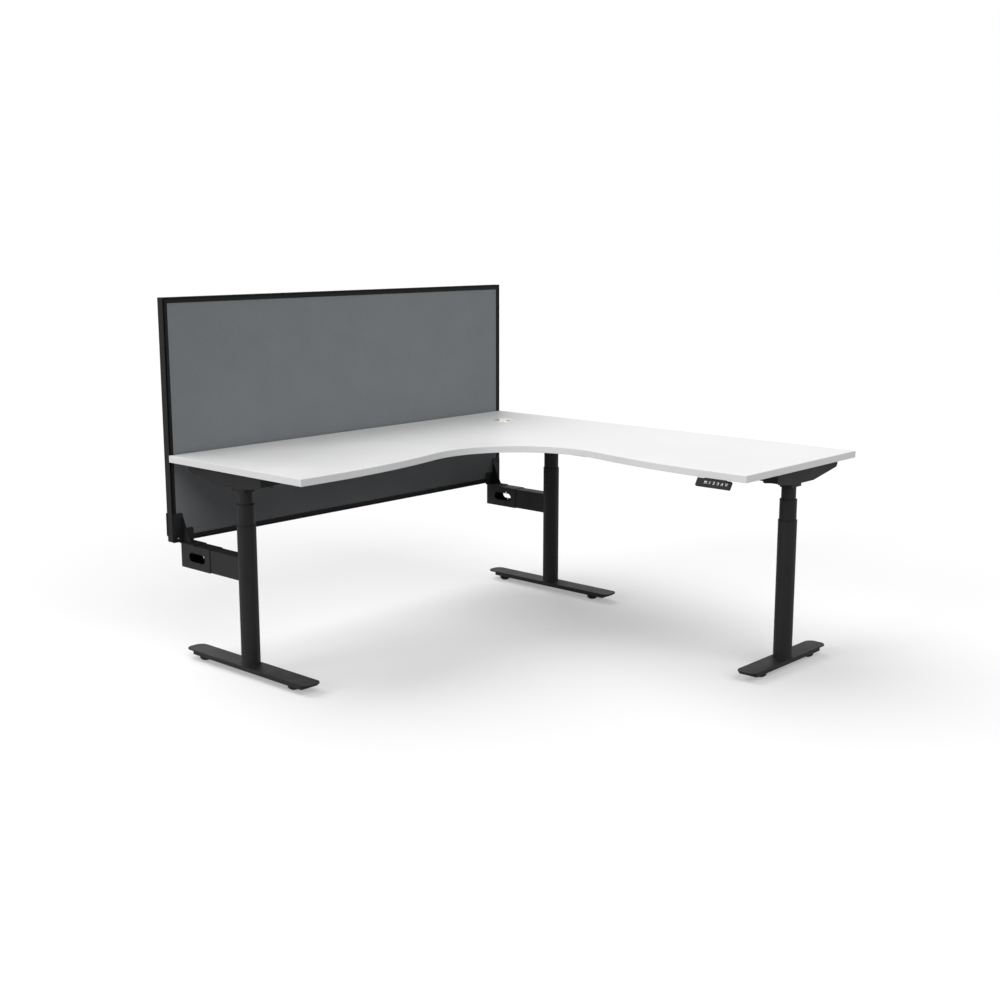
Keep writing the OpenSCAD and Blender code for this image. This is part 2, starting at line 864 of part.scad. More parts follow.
// Upright bar at one end, drilled for the bracket's bolts
module frame_side(i) {
    z = sleeve_top + bracket_t;
    color(black_steel) place() at_screen_end(i) difference() {
        translate([0, screen_front, screen_z + screen_h]) rotate([0, 90, 0]) frame_bar(screen_h);
        for (up = [bolt_low, bolt_high]) translate([bolt_in, screen_front - over, z + up])
            rotate([-90, 0, 0]) cylinder(h = screen_t + 2 * over, d = bolt_d + 2 * bolt_slip);
    }
}

// Panel inside the frame: a core with the cloth drawn over each face
module screen_sheet(y, t) {
    inset = pocket_start + pocket_slip;
    translate([screen_left + inset, y, screen_z + inset])
        cube([screen_w - 2 * inset, t, screen_h - 2 * inset]);
}

module screen_core() {
    color(pale_core) place() difference() {
        screen_sheet(screen_front + lip_t + fabric_t, screen_t - 2 * lip_t - 2 * fabric_t);
        bolt_room();
    }
}

// Room for the bracket's bolts where they pass the panel's edge
module bolt_room() {
    for (i = [0:1]) at_screen_end(i) for (up = [bolt_low, bolt_high])
        translate([bolt_in, screen_front, sleeve_top + bracket_t + up]) rotate([-90, 0, 0])
            cylinder(h = screen_t, d = bolt_head_d);
}

module fabric_front() {
    color(grey_cloth) place() difference() {
        screen_sheet(screen_front + lip_t, fabric_t);
        bolt_room();
    }
}

module fabric_back() {
    color(grey_cloth) place() difference() {
        screen_sheet(screen_back - lip_t - fabric_t, fabric_t);
        bolt_room();
    }
}

place() at_leg(0) foot(foot_l);  // foot_left
place() at_leg(1) foot(foot_l);  // foot_corner
place() at_leg(2) foot(foot_short_l);  // foot_right
outer_tube(0);  // outer_tube_left
outer_tube(1);  // outer_tube_corner
outer_tube(2);  // outer_tube_right
outer_collars();
push_tubes();
arm_stubs();
arm_sleeve(0);  // arm_sleeve_left
arm_sleeve(1);  // arm_sleeve_corner
arm_plugs();
screen_bracket(0);  // screen_bracket_left
screen_bracket(1);  // screen_bracket_corner
clamp_plates();
bracket_bolts();
frame_top();
frame_bottom();
frame_side(0);  // frame_left
frame_side(1);  // frame_right
screen_core();
fabric_front();
fabric_back();
glide(0, foot_l, true);  // glide_left_back
glide(0, foot_l, false);  // glide_left_front
glide(1, foot_l, true);  // glide_corner_back
glide(1, foot_l, false);  // glide_corner_front
glide(2, foot_short_l, true);  // glide_right_back
glide(2, foot_short_l, false);  // glide_right_front
middle_tube(0);  // middle_tube_left
middle_tube(1);  // middle_tube_corner
middle_tube(2);  // middle_tube_right
middle_collars();
middle_guides();
carrier_tubes();
hollow_spindles();
worktop();
edge_band();
support_arm(0);  // support_arm_left
support_arm(1);  // support_arm_corner
support_arm(2);  // support_arm_right
rails_left_wing();
rails_right_wing();
inner_tube(0);  // inner_tube_left
inner_tube(1);  // inner_tube_corner
inner_tube(2);  // inner_tube_right
inner_guides();
motor_units();
drive_spindles();
control_box();
handset_case();
key(0);  // key_memory
key(1);  // key_one
key(2);  // key_two
key(3);  // key_three
key(4);  // key_up
key(5);  // key_down
grommet_ring();
grommet_cap();
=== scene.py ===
# Height-adjustable corner workstation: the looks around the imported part, in metres.
import bpy
import json
from math import cos, pi, radians, sin
from mathutils import Matrix, Vector
from mathutils.bvhtree import BVHTree


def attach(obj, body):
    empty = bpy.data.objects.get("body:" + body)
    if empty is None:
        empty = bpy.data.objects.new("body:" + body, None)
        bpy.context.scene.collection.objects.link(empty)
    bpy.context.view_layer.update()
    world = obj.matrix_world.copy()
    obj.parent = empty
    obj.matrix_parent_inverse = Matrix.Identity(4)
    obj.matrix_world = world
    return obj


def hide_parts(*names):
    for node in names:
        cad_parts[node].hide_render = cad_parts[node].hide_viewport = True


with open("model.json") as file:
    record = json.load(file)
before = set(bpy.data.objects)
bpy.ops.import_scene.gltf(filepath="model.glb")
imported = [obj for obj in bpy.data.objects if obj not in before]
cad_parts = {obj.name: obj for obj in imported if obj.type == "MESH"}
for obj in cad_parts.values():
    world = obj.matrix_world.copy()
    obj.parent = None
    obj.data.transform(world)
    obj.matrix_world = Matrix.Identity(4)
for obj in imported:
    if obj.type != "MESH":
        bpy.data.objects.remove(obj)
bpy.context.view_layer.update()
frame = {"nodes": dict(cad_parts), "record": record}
record = frame["record"]
bodyOf = {node: body for body, nodes in record["behaviour"]["bodies"].items() for node in nodes}
slotOf = {row["node"]: row["material_slot"] for row in record["subparts"]}
print("frame loaded:", len(bodyOf), "nodes")

upwards, downwards = (0, 0, 1), (0, 0, -1)
frontwards, backwards = (0, -1, 0), (0, 1, 0)

# where the columns stand, and which way the back edge lies from each
columnAt = {"left": (-0.8375, 0.5135), "corner": (0.8345, 0.5135), "right": (0.5345, -0.8585)}
columnBack = {"left": (0, 1), "corner": (0, 1), "right": (1, 0)}

# merging and shading, in metres and degrees, and how squarely a picked face has to point
meshCare = {"mergeWithin": 0.00001, "flatWithin": 0.5, "roundAbove": 35, "smoothBelow": 35,
            "flatsWeight": 100, "facing": 0.9}


# selecting and shaping

def deselectAll():
    active = bpy.context.view_layer.objects.active
    if active and active.mode != "OBJECT":
        bpy.ops.object.mode_set(mode="OBJECT")
    bpy.ops.object.select_all(action="DESELECT")


def makeActive(piece):
    deselectAll()
    piece.select_set(True)
    bpy.context.view_layer.objects.active = piece


def backToObject():
    bpy.ops.object.mode_set(mode="OBJECT")


def pickFacing(piece, direction):
    # selects the faces that point along a direction and stays in edit mode
    makeActive(piece)
    bpy.ops.object.mode_set(mode="EDIT")
    bpy.ops.mesh.select_mode(type="FACE")
    bpy.ops.mesh.select_all(action="DESELECT")
    backToObject()
    for face in piece.data.polygons:
        face.select = face.normal.dot(Vector(direction)) > meshCare["facing"]
    bpy.ops.object.mode_set(mode="EDIT")


def applyPlace(piece):
    makeActive(piece)
    bpy.ops.object.transform_apply(location=True, rotation=True, scale=True)


def roundEdges(piece, width, segments=2, angle=meshCare["roundAbove"]):
    makeActive(piece)
    rounding = piece.modifiers.new("rounding", "BEVEL")
    rounding.width = width
    rounding.segments = segments
    rounding.limit_method = "ANGLE"
    rounding.angle_limit = radians(angle)
    rounding.use_clamp_overlap = True
    bpy.ops.object.modifier_apply(modifier=rounding.name)


def cutWith(piece, tool):
    makeActive(piece)
    cut = piece.modifiers.new("cut", "BOOLEAN")
    cut.operation = "DIFFERENCE"
    cut.solver = "EXACT"
    cut.object = tool
    bpy.ops.object.modifier_apply(modifier=cut.name)
    removeAll(tool)


def joinAll(pieces):
    deselectAll()
    for piece in pieces:
        piece.select_set(True)
    bpy.context.view_layer.objects.active = pieces[0]
    bpy.ops.object.join()
    return pieces[0]


def removeAll(*spares):
    for spare in spares:
        bpy.data.objects.remove(spare, do_unlink=True)


# finishing and copying

def finishPiece(piece, name, body, slotName, nodes=(), angle=meshCare["smoothBelow"], finish=None):
    piece.name = name
    piece.data.name = name
    makeActive(piece)
    bpy.ops.object.shade_smooth_by_angle(angle=radians(angle))
    # large faces keep their own normal, so that flats stay flat beside a rounding
    flats = piece.modifiers.new("flats", "WEIGHTED_NORMAL")
    flats.keep_sharp = True
    flats.weight = meshCare["flatsWeight"]
    bpy.ops.object.modifier_apply(modifier=flats.name)
    piece.data.materials.clear()
    piece.data.materials.append(finishes[finish or finishOfSlot[slotName]])
    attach(piece, body)
    if nodes:
        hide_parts(*nodes)


def copyNode(node):
    # a merged copy of a CAD node, its flat faces joined again
    piece = bpy.data.objects.new(node + "Copy", frame["nodes"][node].data.copy())
    bpy.context.scene.collection.objects.link(piece)
    makeActive(piece)
    bpy.ops.object.mode_set(mode="EDIT")
    bpy.ops.mesh.select_all(action="SELECT")
    bpy.ops.mesh.remove_doubles(threshold=meshCare["mergeWithin"])
    bpy.ops.mesh.dissolve_limited(angle_limit=radians(meshCare["flatWithin"]))
    backToObject()
    return piece


def placeCopy(model, name, body, slotName, place, direction, nodes=()):
    # a copy with its own mesh, its foot at a place and its +Z along a direction
    twin = model.copy()
    twin.data = model.data.copy()
    bpy.context.scene.collection.objects.link(twin)
    turn = Vector(upwards).rotation_difference(Vector(direction)).to_matrix().to_4x4()
    twin.data.transform(Matrix.Translation(place) @ turn)
    finishPiece(twin, name, body, slotName, nodes)


def camel(node):
    words = node.split("_")
    return words[0] + "".join(word.capitalize() for word in words[1:])


def besideColumn(column, back, aside, height):
    # a place at a column, measured along its support arm and across it
    (x, y), (alongX, alongY) = columnAt[column], columnBack[column]
    return (x + back * alongX + aside * alongY, y + back * alongY + aside * alongX, height)


# shader nodes: a number is set on a socket, an output is linked to it

def feed(tree, value, socket):
    if isinstance(value, bpy.types.NodeSocket):
        tree.links.new(value, socket)
    else:
        socket.default_value = value


def mathNode(tree, operation, *values):
    step = tree.nodes.new("ShaderNodeMath")
    step.operation = operation
    for value, socket in zip(values, step.inputs):
        feed(tree, value, socket)
    return step.outputs[0]


def stretchNode(tree, vector, factors):
    stretch = tree.nodes.new("ShaderNodeVectorMath")
    stretch.operation = "MULTIPLY"
    feed(tree, vector, stretch.inputs[0])
    feed(tree, factors, stretch.inputs[1])
    return stretch.outputs[0]


def noiseNode(tree, vector, scale, detail, roughness):
    noise = tree.nodes.new("ShaderNodeTexNoise")
    feed(tree, vector, noise.inputs["Vector"])
    feed(tree, scale, noise.inputs["Scale"])
    feed(tree, detail, noise.inputs["Detail"])
    feed(tree, roughness, noise.inputs["Roughness"])
    return noise.outputs["Fac"]


def rangeNode(tree, value, low, high, toLow, toHigh):
    ranged = tree.nodes.new("ShaderNodeMapRange")
    for place, number in enumerate((value, low, high, toLow, toHigh)):
        feed(tree, number, ranged.inputs[place])
    return ranged.outputs[0]


def mixColours(tree, share, first, second):
    mix = tree.nodes.new("ShaderNodeMix")
    mix.data_type = "RGBA"
    tree.links.new(share, mix.inputs[0])
    tree.links.new(first, mix.inputs[6])
    tree.links.new(second, mix.inputs[7])
    return mix.outputs[2]


def mixShaders(tree, share, first, second):
    mix = tree.nodes.new("ShaderNodeMixShader")
    for place, output in enumerate((share, first.outputs[0], second.outputs[0])):
        tree.links.new(output, mix.inputs[place])
    return mix.outputs[0]


def seenRays(tree):
    # 1 where the camera looks, straight or by a reflection, and 0 for light that bounces
    rays = tree.nodes.new("ShaderNodeLightPath").outputs
    direct = mathNode(tree, "MAXIMUM", rays["Is Camera Ray"], rays["Is Glossy Ray"])
    return mathNode(tree, "MAXIMUM", direct, rays["Is Transmission Ray"])


# shader groups, each with a colour, a roughness and a height for the bump

def newGroup(name, inputs):
    group = bpy.data.node_groups.new(name, "ShaderNodeTree")
    for label, kind, value in inputs:
        socket = group.interface.new_socket(name=label, in_out="INPUT", socket_type=kind)
        socket.default_value = value
    for label, kind in (("Color", "NodeSocketColor"), ("Roughness", "NodeSocketFloat"),
                        ("Height", "NodeSocketFloat")):
        group.interface.new_socket(name=label, in_out="OUTPUT", socket_type=kind)
    values = group.nodes.new("NodeGroupInput").outputs
    results = group.nodes.new("NodeGroupOutput").inputs
    place = group.nodes.new("ShaderNodeTexCoord").outputs["Object"]
    return group, values, results, place


grain = {"patchDetail": 3, "patchRoughness": 0.55, "patchLow": 0.3, "patchHigh": 0.7,
         "fleckDetail": 1, "fleckRoughness": 0.5, "fleckLow": 0.35, "fleckHigh": 0.65,
         "fleckReach": 0.18}


def buildGrain():
    # moulded or sprayed surface: patches of tone and gloss under a fine grain
    group, values, results, place = newGroup("surfaceGrain", (
        ("Tone", "NodeSocketColor", (0.5, 0.5, 0.5, 1)),
        ("Second Tone", "NodeSocketColor", (0.6, 0.6, 0.6, 1)),
        ("Patch Scale", "NodeSocketFloat", 6.0),
        ("Grain Scale", "NodeSocketFloat", 900.0),
        ("Rough Low", "NodeSocketFloat", 0.4),
        ("Rough High", "NodeSocketFloat", 0.6)))
    patch = noiseNode(group, place, values["Patch Scale"],
                      grain["patchDetail"], grain["patchRoughness"])
    fine = noiseNode(group, place, values["Grain Scale"],
                     grain["fleckDetail"], grain["fleckRoughness"])
    fleck = rangeNode(group, fine, grain["fleckLow"], grain["fleckHigh"],
                      -grain["fleckReach"], grain["fleckReach"])
    patch = rangeNode(group, patch, grain["patchLow"], grain["patchHigh"], 0, 1)
    share = mathNode(group, "MAXIMUM", mathNode(group, "ADD", patch, fleck), 0.0)
    share = mathNode(group, "MINIMUM", share, 1.0)
    tone = mixColours(group, share, values["Tone"], values["Second Tone"])
    rough = rangeNode(group, share, 0.0, 1.0, values["Rough Low"], values["Rough High"])
    group.links.new(tone, results["Color"])
    group.links.new(rough, results["Roughness"])
    group.links.new(fine, results["Height"])
    return group


weave = {"yarnScale": 60, "yarnDetail": 2, "yarnRoughness": 0.6, "yarnStretch": (1, 1, 14),
         "cloudScale": 7, "cloudDetail": 2, "cloudRoughness": 0.5, "crossing": 0.2,
         "yarnShare": 0.6, "cloudShare": 0.25, "sideShare": 0.15, "toneLow": 0.3, "toneHigh": 0.75,
         "roughBetween": 0.95, "roughOnTop": 0.8}


def buildWeave():
    # plain weave of round yarns on the screen's plane, with heathered yarn tones
    group, values, results, place = newGroup("clothWeave", (
        ("Yarn", "NodeSocketColor", (0.15, 0.16, 0.17, 1)),
        ("Second Yarn", "NodeSocketColor", (0.2, 0.21, 0.22, 1)),
        ("Yarns Per Metre", "NodeSocketFloat", 900.0)))
    parts = group.nodes.new("ShaderNodeSeparateXYZ")
    group.links.new(place, parts.inputs[0])
    waves = []
    for axis in ("X", "Z"):
        yarns = mathNode(group, "MULTIPLY", parts.outputs[axis], values["Yarns Per Metre"])
        waves.append(mathNode(group, "SINE", mathNode(group, "MULTIPLY", yarns, pi)))
    over = mathNode(group, "MULTIPLY", *waves)
    crown = mathNode(group, "ABSOLUTE", over)
    side = rangeNode(group, over, -weave["crossing"], weave["crossing"], 0, 1)
    yarnTone = noiseNode(group, stretchNode(group, place, weave["yarnStretch"]),
                         weave["yarnScale"], weave["yarnDetail"], weave["yarnRoughness"])
    cloud = noiseNode(group, place,
                      weave["cloudScale"], weave["cloudDetail"], weave["cloudRoughness"])
    share = mathNode(group, "ADD", mathNode(group, "MULTIPLY", yarnTone, weave["yarnShare"]),
                     mathNode(group, "MULTIPLY", cloud, weave["cloudShare"]))
    share = mathNode(group, "ADD", share, mathNode(group, "MULTIPLY", side, weave["sideShare"]))
    share = rangeNode(group, share, weave["toneLow"], weave["toneHigh"], 0, 1)
    tone = mixColours(group, share, values["Yarn"], values["Second Yarn"])
    rough = rangeNode(group, crown, 0, 1, weave["roughBetween"], weave["roughOnTop"])
    group.links.new(tone, results["Color"])
    group.links.new(rough, results["Roughness"])
    group.links.new(crown, results["Height"])
    return group


streaks = {"scale": 220, "detail": 2, "roughness": 0.6, "share": 0.7,
           "cloudScale": 18, "cloudDetail": 2, "cloudRoughness": 0.5, "cloudShare": 0.3,
           "low": 0.35, "high": 0.65}


def buildDrawn():
    # drawn or turned metal: fine streaks along one axis
    group, values, results, place = newGroup("drawnMetal", (
        ("Tone", "NodeSocketColor", (0.5, 0.5, 0.5, 1)),
        ("Second Tone", "NodeSocketColor", (0.6, 0.6, 0.6, 1)),
        ("Stretch", "NodeSocketVector", (1, 1, 1)),
        ("Rough Low", "NodeSocketFloat", 0.3),
        ("Rough High", "NodeSocketFloat", 0.45)))
    streak = noiseNode(group, stretchNode(group, place, values["Stretch"]),
                       streaks["scale"], streaks["detail"], streaks["roughness"])
    cloud = noiseNode(group, place,
                      streaks["cloudScale"], streaks["cloudDetail"], streaks["cloudRoughness"])
    share = mathNode(group, "ADD", mathNode(group, "MULTIPLY", streak, streaks["share"]),
                     mathNode(group, "MULTIPLY", cloud, streaks["cloudShare"]))
    share = rangeNode(group, share, streaks["low"], streaks["high"], 0, 1)
    tone = mixColours(group, share, values["Tone"], values["Second Tone"])
    rough = rangeNode(group, share, 0, 1, values["Rough Low"], values["Rough High"])
    group.links.new(tone, results["Color"])
    group.links.new(rough, results["Roughness"])
    group.links.new(streak, results["Height"])
    return group


surfaceGrain = buildGrain()
clothWeave = buildWeave()
drawnMetal = buildDrawn()
print("shader groups built")


# finishes: a group with its values, its bump, and what stays on the shader itself

def grey(value, tint=(1, 1, 1)):
    return (value * tint[0], value * tint[1], value * tint[2], 1)


def newFinish(name, group, patternValues, bumpValues, shaderValues):
    material = bpy.data.materials.new(name)
    material.use_nodes = True
    tree = material.node_tree
    shader = tree.nodes["Principled BSDF"]
    pattern = tree.nodes.new("ShaderNodeGroup")
    pattern.node_tree = group
    bump = tree.nodes.new("ShaderNodeBump")
    for node, values in ((pattern, patternValues), (bump, bumpValues), (shader, shaderValues)):
        for label, value in values.items():
            node.inputs[label].default_value = value
    tree.links.new(pattern.outputs["Color"], shader.inputs["Base Color"])
    tree.links.new(pattern.outputs["Roughness"], shader.inputs["Roughness"])
    tree.links.new(pattern.outputs["Height"], bump.inputs["Height"])
    tree.links.new(bump.outputs["Normal"], shader.inputs["Normal"])
    return material


coldTint = (1, 1.01, 1.03)
recipes = {
    "whiteLaminate": (surfaceGrain, {
        "Tone": grey(0.80), "Second Tone": grey(0.83), "Patch Scale": 2.5, "Grain Scale": 520.0,
        "Rough Low": 0.42, "Rough High": 0.5},
        {"Strength": 0.12, "Distance": 0.0002}, {"Specular IOR Level": 0.2}),
    "edgePlastic": (surfaceGrain, {
        "Tone": grey(0.79), "Second Tone": grey(0.82), "Patch Scale": 5.0, "Grain Scale": 800.0,
        "Rough Low": 0.42, "Rough High": 0.5},
        {"Strength": 0.1, "Distance": 0.0002}, {"Specular IOR Level": 0.35}),
    "powderCoat": (surfaceGrain, {
        "Tone": grey(0.0075), "Second Tone": grey(0.0115),
        "Patch Scale": 9.0, "Grain Scale": 1400.0, "Rough Low": 0.5, "Rough High": 0.62},
        {"Strength": 0.35, "Distance": 0.0004}, {"Specular IOR Level": 0.18}),
    "anodised": (drawnMetal, {
        "Tone": grey(0.0055), "Second Tone": grey(0.0085), "Stretch": (1, 1, 1),
        "Rough Low": 0.42, "Rough High": 0.52},
        {"Strength": 0.1, "Distance": 0.0001}, {"Specular IOR Level": 0.12}),
    "blackPlastic": (surfaceGrain, {
        "Tone": grey(0.007), "Second Tone": grey(0.011),
        "Patch Scale": 14.0, "Grain Scale": 1100.0, "Rough Low": 0.5, "Rough High": 0.65},
        {"Strength": 0.25, "Distance": 0.0003}, {"Specular IOR Level": 0.16}),
    "keyPlastic": (surfaceGrain, {
        "Tone": grey(0.009), "Second Tone": grey(0.014),
        "Patch Scale": 30.0, "Grain Scale": 1500.0, "Rough Low": 0.34, "Rough High": 0.44},
        {"Strength": 0.1, "Distance": 0.0002}, {"Specular IOR Level": 0.28}),
    "legendPrint": (surfaceGrain, {
        "Tone": grey(0.78), "Second Tone": grey(0.86),
        "Patch Scale": 80.0, "Grain Scale": 2000.0, "Rough Low": 0.45, "Rough High": 0.55},
        {"Strength": 0.05, "Distance": 0.0001}, {"Specular IOR Level": 0.4}),
    "zincSteel": (drawnMetal, {
        "Tone": grey(0.45, coldTint), "Second Tone": grey(0.6, coldTint), "Stretch": (1, 1, 6),
        "Rough Low": 0.28, "Rough High": 0.42},
        {"Strength": 0.15, "Distance": 0.0001}, {"Metallic": 1.0}),
    "blackZinc": (drawnMetal, {
        "Tone": grey(0.008), "Second Tone": grey(0.015), "Stretch": (1, 1, 4),
        "Rough Low": 0.35, "Rough High": 0.5},
        {"Strength": 0.15, "Distance": 0.0001}, {"Specular IOR Level": 0.2}),
    "creamPlastic": (surfaceGrain, {
        "Tone": (0.86, 0.80, 0.68, 1), "Second Tone": (0.90, 0.85, 0.74, 1),
        "Patch Scale": 20.0, "Grain Scale": 900.0, "Rough Low": 0.1, "Rough High": 0.16},
        {"Strength": 0.02, "Distance": 0.0001},
        {"Specular IOR Level": 0.6, "Coat Weight": 0.2, "Coat Roughness": 0.06}),
    "screenCloth": (clothWeave, {
        "Yarn": (0.190, 0.203, 0.212, 1), "Second Yarn": (0.244, 0.259, 0.269, 1),
        "Yarns Per Metre": 900.0},
        {"Strength": 0.5, "Distance": 0.0006},
        {"Specular IOR Level": 0.25, "Sheen Weight": 0.15, "Sheen Roughness": 0.5}),
    "fibreBoard": (surfaceGrain, {
        "Tone": (0.42, 0.34, 0.24, 1), "Second Tone": (0.5, 0.42, 0.3, 1),
        "Patch Scale": 40.0, "Grain Scale": 700.0, "Rough Low": 0.75, "Rough High": 0.9},
        {"Strength": 0.4, "Distance": 0.0005}, {"Specular IOR Level": 0.3}),
}
finishes = {name: newFinish(name, *recipe) for name, recipe in recipes.items()}
finishOfSlot = {
    "white_laminate": "whiteLaminate", "edge_plastic": "edgePlastic",
    "black_powder_coat": "powderCoat", "black_anodised": "anodised",
    "black_plastic": "blackPlastic", "key_plastic": "keyPlastic", "zinc_steel": "zincSteel",
    "black_zinc": "blackZinc", "cream_plastic": "creamPlastic", "screen_cloth": "screenCloth",
    "panel_core": "fibreBoard",
}
for node, slotName in slotOf.items():
    mesh = frame["nodes"][node].data
    mesh.materials.clear()
    mesh.materials.append(finishes[finishOfSlot[slotName]])
print("materials built:", len(finishes))


# camera, lamps and surroundings

view = {"place": (-3.7967, -3.3999, 1.5642), "down": 10.813, "turn": 47.66, "lens": 50,
        "sensor": 36, "farEnd": 200}
bpy.ops.object.camera_add(
    location=view["place"], rotation=(radians(90 - view["down"]), 0, -radians(view["turn"])))
camera = bpy.context.object
camera.data.lens = view["lens"]
camera.data.sensor_width = view["sensor"]
camera.data.clip_end = view["farEnd"]
bpy.context.scene.camera = camera

suns = {"backLamp": {"strength": 2.15, "spread": 60, "from": (-0.1, 0.7, 1.0)},
        "frontLamp": {"strength": 1.6, "spread": 50, "from": (-0.3, -1.0, 0.85)},
        "leftLamp": {"strength": 1.3, "spread": 30, "from": (-1.0, 0.2, 0.35)}}
studio = {"lampsAway": 6, "ambient": 0.05, "surround": 1.0}


def addSun(name, sun):
    source = Vector(sun["from"])
    bpy.ops.object.light_add(type="SUN", location=source * studio["lampsAway"])
    lamp = bpy.context.object
    lamp.name = name
    lamp.data.energy = sun["strength"]
    lamp.data.angle = radians(sun["spread"])
    lamp.rotation_euler = source.to_track_quat("Z", "Y").to_euler()


for name, sun in suns.items():
    addSun(name, sun)

world = bpy.data.worlds.new("studio")
bpy.context.scene.world = world
world.use_nodes = True
sky = world.node_tree
sky.nodes.clear()
ambient = sky.nodes.new("ShaderNodeBackground")
ambient.inputs["Color"].default_value = grey(1)
ambient.inputs["Strength"].default_value = studio["ambient"]
surround = sky.nodes.new("ShaderNodeBackground")
surround.inputs["Color"].default_value = grey(1)
surround.inputs["Strength"].default_value = studio["surround"]
skyEnd = sky.nodes.new("ShaderNodeOutputWorld")
sky.links.new(mixShaders(sky, seenRays(sky), ambient, surround), skyEnd.inputs["Surface"])


# the floor, which throws less light back up than it shows

ground = {"size": 60, "drop": 0.0005, "tone": 0.68, "roughness": 0.9, "lift": 0.31, "bounce": 0.3}
bpy.ops.mesh.primitive_plane_add(size=ground["size"], location=(0, 0, -ground["drop"]))
floor = bpy.context.object
floor.name = "floor"
floorPaint = bpy.data.materials.new("floorPaint")
floorPaint.use_nodes = True
paint = floorPaint.node_tree
shade = paint.nodes["Principled BSDF"]
shade.inputs["Base Color"].default_value = grey(ground["tone"])
shade.inputs["Roughness"].default_value = ground["roughness"]
shade.inputs["Specular IOR Level"].default_value = 0.0
lift = paint.nodes.new("ShaderNodeEmission")
lift.inputs["Strength"].default_value = ground["lift"]
lifted = paint.nodes.new("ShaderNodeAddShader")
paint.links.new(shade.outputs[0], lifted.inputs[0])
paint.links.new(lift.outputs[0], lifted.inputs[1])
bounce = paint.nodes.new("ShaderNodeBsdfDiffuse")
bounce.inputs["Color"].default_value = grey(ground["bounce"])
paint.links.new(mixShaders(paint, seenRays(paint), bounce, lifted),
                paint.nodes["Material Output"].inputs["Surface"])
floor.data.materials.append(floorPaint)
bpy.context.scene.view_settings.view_transform = "Standard"
print("camera, lights and floor set")


# pieces that keep their node's shape, with the radius of their edges

edgeRadius = {
    "foot_left": 0.0012, "foot_corner": 0.0012, "foot_right": 0.0012,
    "outer_tube_left": 0.0004, "outer_tube_corner": 0.0004, "outer_tube_right": 0.0004,
    "middle_tube_left": 0.0004, "middle_tube_corner": 0.0004, "middle_tube_right": 0.0004,
    "arm_stubs": 0.0012, "arm_sleeve_left": 0.0006, "arm_sleeve_corner": 0.0006,
    "screen_bracket_left": 0.0005, "screen_bracket_corner": 0.0005, "clamp_plates": 0.0007,
    "support_arm_left": 0.0008, "support_arm_corner": 0.0008, "support_arm_right": 0.0008,
    "frame_top": 0.0005, "frame_bottom": 0.0005, "frame_left": 0.0005, "frame_right": 0.0005,
    "outer_collars": 0.0005, "middle_collars": 0.0005, "arm_plugs": 0.0006,
    "motor_units": 0.001, "control_box": 0.0012, "handset_case": 0.0008,
    "glide_left_back": 0.0004, "glide_left_front": 0.0004, "glide_corner_back": 0.0004,
    "glide_corner_front": 0.0004, "glide_right_back": 0.0004, "glide_right_front": 0.0004,
    "key_memory": 0.0005, "key_one": 0.0005, "key_two": 0.0005, "key_three": 0.0005,
    "key_up": 0.0005, "key_down": 0.0005, "grommet_ring": 0.0004, "grommet_cap": 0.0004,
}
for node, radius in edgeRadius.items():
    piece = copyNode(node)
    roundEdges(piece, radius)
    finishPiece(piece, camel(node), bodyOf[node], slotOf[node], (node,))
print("rounded pieces:", len(edgeRadius))


# worktop edge band: only its outer edges are rounded

bandEdge = {"radius": 0.0012, "steps": 3, "sharpBelow": 0.5, "offBoard": 0.001, "smoothBelow": 30}


def buildBand():
    board = frame["nodes"]["worktop"].data
    boardTree = BVHTree.FromPolygons([point.co for point in board.vertices],
                                     [face.vertices[:] for face in board.polygons])
    band = copyNode("edge_band")
    makeActive(band)
    bpy.ops.object.mode_set(mode="EDIT")
    bpy.ops.mesh.select_mode(type="EDGE")
    bpy.ops.mesh.select_all(action="DESELECT")
    backToObject()
    points = band.data.vertices
    faceNormals = {}
    for face in band.data.polygons:
        for key in face.edge_keys:
            faceNormals.setdefault(key, []).append(face.normal)
    # the edges that are sharp and don't lie on the board
    for edge in band.data.edges:
        normals = faceNormals.get(edge.key, [])
        sharp = len(normals) == 2 and normals[0].dot(normals[1]) < bandEdge["sharpBelow"]
        gaps = [boardTree.find_nearest(points[end].co)[3] for end in edge.vertices]
        edge.select = sharp and min(gaps) > bandEdge["offBoard"]
    bpy.ops.object.mode_set(mode="EDIT")
    bpy.ops.mesh.bevel(offset=bandEdge["radius"], segments=bandEdge["steps"], affect="EDGES")
    backToObject()
    finishPiece(band, "worktopEdgeBand", "desktop", "edge_plastic", ("edge_band",),
                bandEdge["smoothBelow"])


buildBand()
print("edge band rounded")


# cloth on the screen

cloth = {"left": -0.8825, "right": 0.8855, "low": 0.4565, "high": 1.3285,
         "frontFace": 0.8866, "backFace": 0.9104, "thickness": 0.0012, "swell": 0.0003,
         "edgeRise": 12, "columns": 60, "rows": 30, "smoothBelow": 50}


